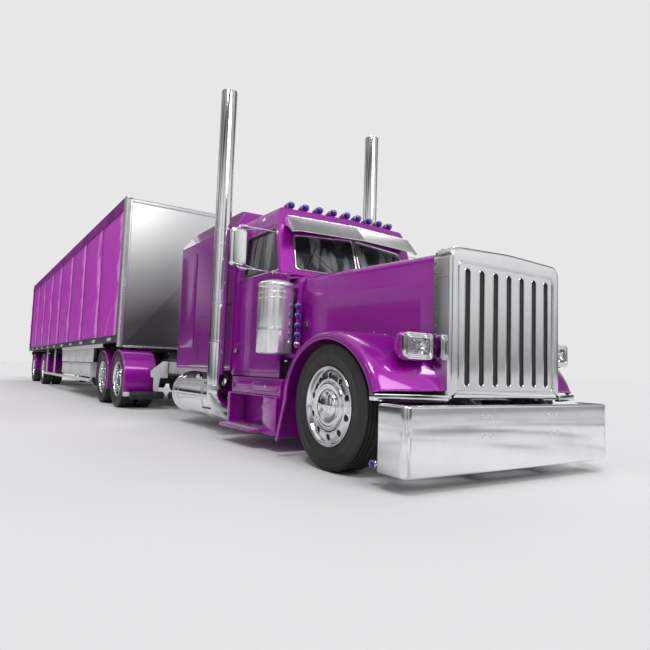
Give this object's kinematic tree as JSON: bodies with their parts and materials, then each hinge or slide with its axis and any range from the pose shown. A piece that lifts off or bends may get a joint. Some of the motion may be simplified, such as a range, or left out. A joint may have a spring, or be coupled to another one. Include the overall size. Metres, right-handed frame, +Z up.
{
  "type": "articulated lorry",
  "caption": "Long-nosed sleeper tractor hinged to a curtain-sided semi-trailer, with turning wheels, steering, tilting hood and opening doors.",
  "frame": {"origin": "on the road under the middle of the whole vehicle's box, on its centre plane", "axes": "+X forwards along the vehicle, +Y to its left, +Z up from the road"},
  "size_m": [24.4003, 2.99, 4.33],
  "materials": {
    "purple_paint": "glossy deep purple with fine metallic flake",
    "dark_purple_paint": "glossy very dark purple",
    "chrome": "bright plated chrome",
    "polished_alloy": "polished alloy",
    "black_steel": "satin black chassis paint",
    "engine_grey": "painted cast grey",
    "glass": "tinted glass",
    "tyre_rubber": "black tread rubber",
    "blue_lens": "blue lens on a purple housing",
    "white_panel": "satin white and light grey",
    "curtain_fabric": "coated woven curtain",
    "cab_trim": "dark padded trim"
  },
  "bodies": {
    "chassis": {"frame": "black_steel", "front_axle": "black_steel", "drive_axles": "black_steel", "engine": "engine_grey", "radiator": "black_steel", "bumper": "chrome", "cab": "purple_paint", "sleeper": "purple_paint", "windscreen": "glass", "sun_visor": "chrome", "marker_lamps": "blue_lens", "cab_interior": "cab_trim", "air_cleaners": "chrome", "exhaust_stacks": "chrome", "fuel_tanks": "chrome", "step_boxes": "purple_paint", "drive_fenders": "purple_paint", "fifth_wheel": "black_steel"},
    "hood": {"hood": "purple_paint", "front_fenders": "purple_paint", "grille_surround": "chrome", "grille": "polished_alloy", "headlamps": "chrome"},
    "door_right": {"door_right": "purple_paint", "door_glass_right": "glass", "mirror_right": "chrome"},
    "door_left": {"door_left": "purple_paint", "door_glass_left": "glass", "mirror_left": "chrome"},
    "knuckle_right": {"knuckle_right": "black_steel"},
    "knuckle_left": {"knuckle_left": "black_steel"},
    "tie_rod": {"tie_rod": "black_steel"},
    "front_wheel_right": {"front_tyre_right": "tyre_rubber", "front_rim_right": "polished_alloy"},
    "front_wheel_left": {"front_tyre_left": "tyre_rubber", "front_rim_left": "polished_alloy"},
    "trailer": {"trailer_frame": "black_steel", "trailer_floor": "black_steel", "trailer_front_wall": "white_panel", "trailer_roof": "white_panel", "trailer_posts": "dark_purple_paint", "trailer_curtains": "curtain_fabric", "trailer_axles": "black_steel", "trailer_fenders": "purple_paint", "side_boxes": "white_panel", "landing_gear": "black_steel", "rear_guard": "black_steel"},
    "rear_door_right": {"rear_door_right": "white_panel"},
    "rear_door_left": {"rear_door_left": "white_panel"},
    "drive_wheel_1_right": {"drive_wheel_1_right": "tyre_rubber"},
    "drive_wheel_1_left": {"drive_wheel_1_left": "tyre_rubber"},
    "drive_wheel_2_right": {"drive_wheel_2_right": "tyre_rubber"},
    "drive_wheel_2_left": {"drive_wheel_2_left": "tyre_rubber"},
    "trailer_wheel_1_right": {"trailer_wheel_1_right": "tyre_rubber"},
    "trailer_wheel_1_left": {"trailer_wheel_1_left": "tyre_rubber"},
    "trailer_wheel_2_right": {"trailer_wheel_2_right": "tyre_rubber"},
    "trailer_wheel_2_left": {"trailer_wheel_2_left": "tyre_rubber"}
  },
  "joints": [
    {"name": "hood_tilt", "type": "hinge", "parent": "chassis", "child": "hood", "pos_m": [12.1002, 0, 0.6], "axis": [0, 1, 0], "range_deg": [0, 60]},
    {"name": "door_right_swing", "type": "hinge", "parent": "chassis", "child": "door_right", "pos_m": [9.9002, -1, 1.4], "axis": [0, 0, 1], "range_deg": [0, 70]},
    {"name": "door_left_swing", "type": "hinge", "parent": "chassis", "child": "door_left", "pos_m": [9.9002, 1, 1.4], "axis": [0, 0, -1], "range_deg": [0, 70]},
    {"name": "steer_right", "type": "hinge", "parent": "chassis", "child": "knuckle_right", "pos_m": [11.1502, -0.96, 0.54], "axis": [0, 0, 1], "range_deg": [-35, 35]},
    {"name": "steer_left", "type": "hinge", "parent": "chassis", "child": "knuckle_left", "pos_m": [11.1502, 0.96, 0.54], "axis": [0, 0, 1], "range_deg": [-35, 35]},
    {"name": "tie_rod_slide", "type": "slide", "parent": "chassis", "child": "tie_rod", "axis": [0, 1, 0], "range_m": [-0.09, 0.09]},
    {"name": "front_spin_right", "type": "hinge", "parent": "knuckle_right", "child": "front_wheel_right", "pos_m": [11.1502, -1.04, 0.54], "axis": [0, 1, 0], "continuous": true},
    {"name": "front_spin_left", "type": "hinge", "parent": "knuckle_left", "child": "front_wheel_left", "pos_m": [11.1502, 1.04, 0.54], "axis": [0, 1, 0], "continuous": true},
    {"name": "drive_spin_1_right", "type": "hinge", "parent": "chassis", "child": "drive_wheel_1_right", "pos_m": [3.8502, -0.909, 0.54], "axis": [0, 1, 0], "continuous": true},
    {"name": "drive_spin_1_left", "type": "hinge", "parent": "chassis", "child": "drive_wheel_1_left", "pos_m": [3.8502, 0.909, 0.54], "axis": [0, 1, 0], "continuous": true},
    {"name": "drive_spin_2_right", "type": "hinge", "parent": "chassis", "child": "drive_wheel_2_right", "pos_m": [2.5002, -0.909, 0.54], "axis": [0, 1, 0], "continuous": true},
    {"name": "drive_spin_2_left", "type": "hinge", "parent": "chassis", "child": "drive_wheel_2_left", "pos_m": [2.5002, 0.909, 0.54], "axis": [0, 1, 0], "continuous": true},
    {"name": "trailer_spin_1_right", "type": "hinge", "parent": "trailer", "child": "trailer_wheel_1_right", "pos_m": [-7.6498, -0.909, 0.54], "axis": [0, 1, 0], "continuous": true},
    {"name": "trailer_spin_1_left", "type": "hinge", "parent": "trailer", "child": "trailer_wheel_1_left", "pos_m": [-7.6498, 0.909, 0.54], "axis": [0, 1, 0], "continuous": true},
    {"name": "trailer_spin_2_right", "type": "hinge", "parent": "trailer", "child": "trailer_wheel_2_right", "pos_m": [-10.6998, -0.909, 0.54], "axis": [0, 1, 0], "continuous": true},
    {"name": "trailer_spin_2_left", "type": "hinge", "parent": "trailer", "child": "trailer_wheel_2_left", "pos_m": [-10.6998, 0.909, 0.54], "axis": [0, 1, 0], "continuous": true},
    {"name": "trailer_swing", "type": "hinge", "parent": "chassis", "child": "trailer", "pos_m": [3.1502, 0, 1.15], "axis": [0, 0, 1], "range_deg": [-90, 90]},
    {"name": "rear_door_right_swing", "type": "hinge", "parent": "trailer", "child": "rear_door_right", "pos_m": [-12.1758, -1.299, 2.7], "axis": [0, 0, 1], "range_deg": [0, 255]},
    {"name": "rear_door_left_swing", "type": "hinge", "parent": "trailer", "child": "rear_door_left", "pos_m": [-12.1758, 1.299, 2.7], "axis": [0, 0, -1], "range_deg": [0, 255]}
  ],
  "couplings": [
    {"joint": "steer_left", "follows": "steer_right", "ratio": 1},
    {"joint": "tie_rod_slide", "follows": "steer_right", "m_per_rad": -0.142}
  ]
}
